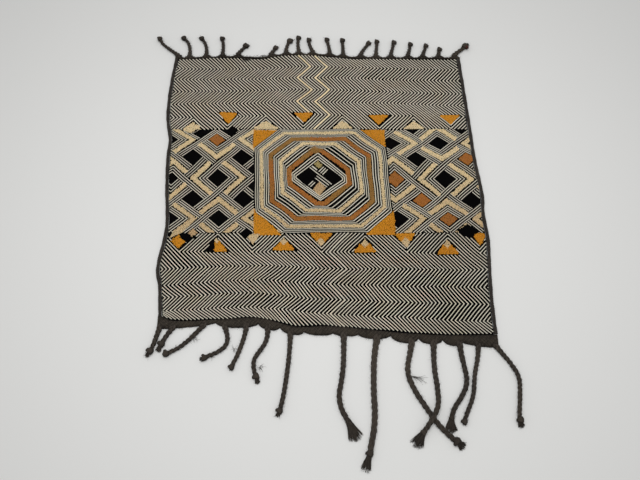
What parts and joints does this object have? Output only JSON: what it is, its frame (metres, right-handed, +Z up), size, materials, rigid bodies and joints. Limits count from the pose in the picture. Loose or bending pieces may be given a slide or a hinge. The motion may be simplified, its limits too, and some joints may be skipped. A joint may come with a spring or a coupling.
{
  "type": "kuba raffia cloth",
  "caption": "Flat embroidered raffia cloth with a medallion, diamond interlace, herringbone fields, rolled dark sides and plaited fringes.",
  "frame": {"origin": "middle of the footprint, on the floor", "axes": "+Z up out of the cloth's face, +Y along the cloth from the long plaits to the short ones, +X to the right"},
  "size_m": [0.688, 0.9082, 0.0118],
  "materials": {
    "raffia_ground": "dark woven raffia under raised pale and dark stitched lines",
    "pale_stitch": "pale twisted raffia stitch",
    "dark_stitch": "black dyed raffia stitch",
    "cream_pile": "cream cut pile",
    "gold_pile": "golden cut pile",
    "brown_pile": "brown cut pile",
    "black_pile": "black cut pile",
    "dark_binding": "rolled and whipped dark fibre",
    "dark_fringe": "matted dark braided fibre"
  },
  "bodies": {
    "root": {"panel": "raffia_ground", "binding_left": "dark_binding", "binding_right": "dark_binding", "fringe_top": "dark_fringe", "fringe_bottom": "dark_fringe"}
  },
  "joints": []
}
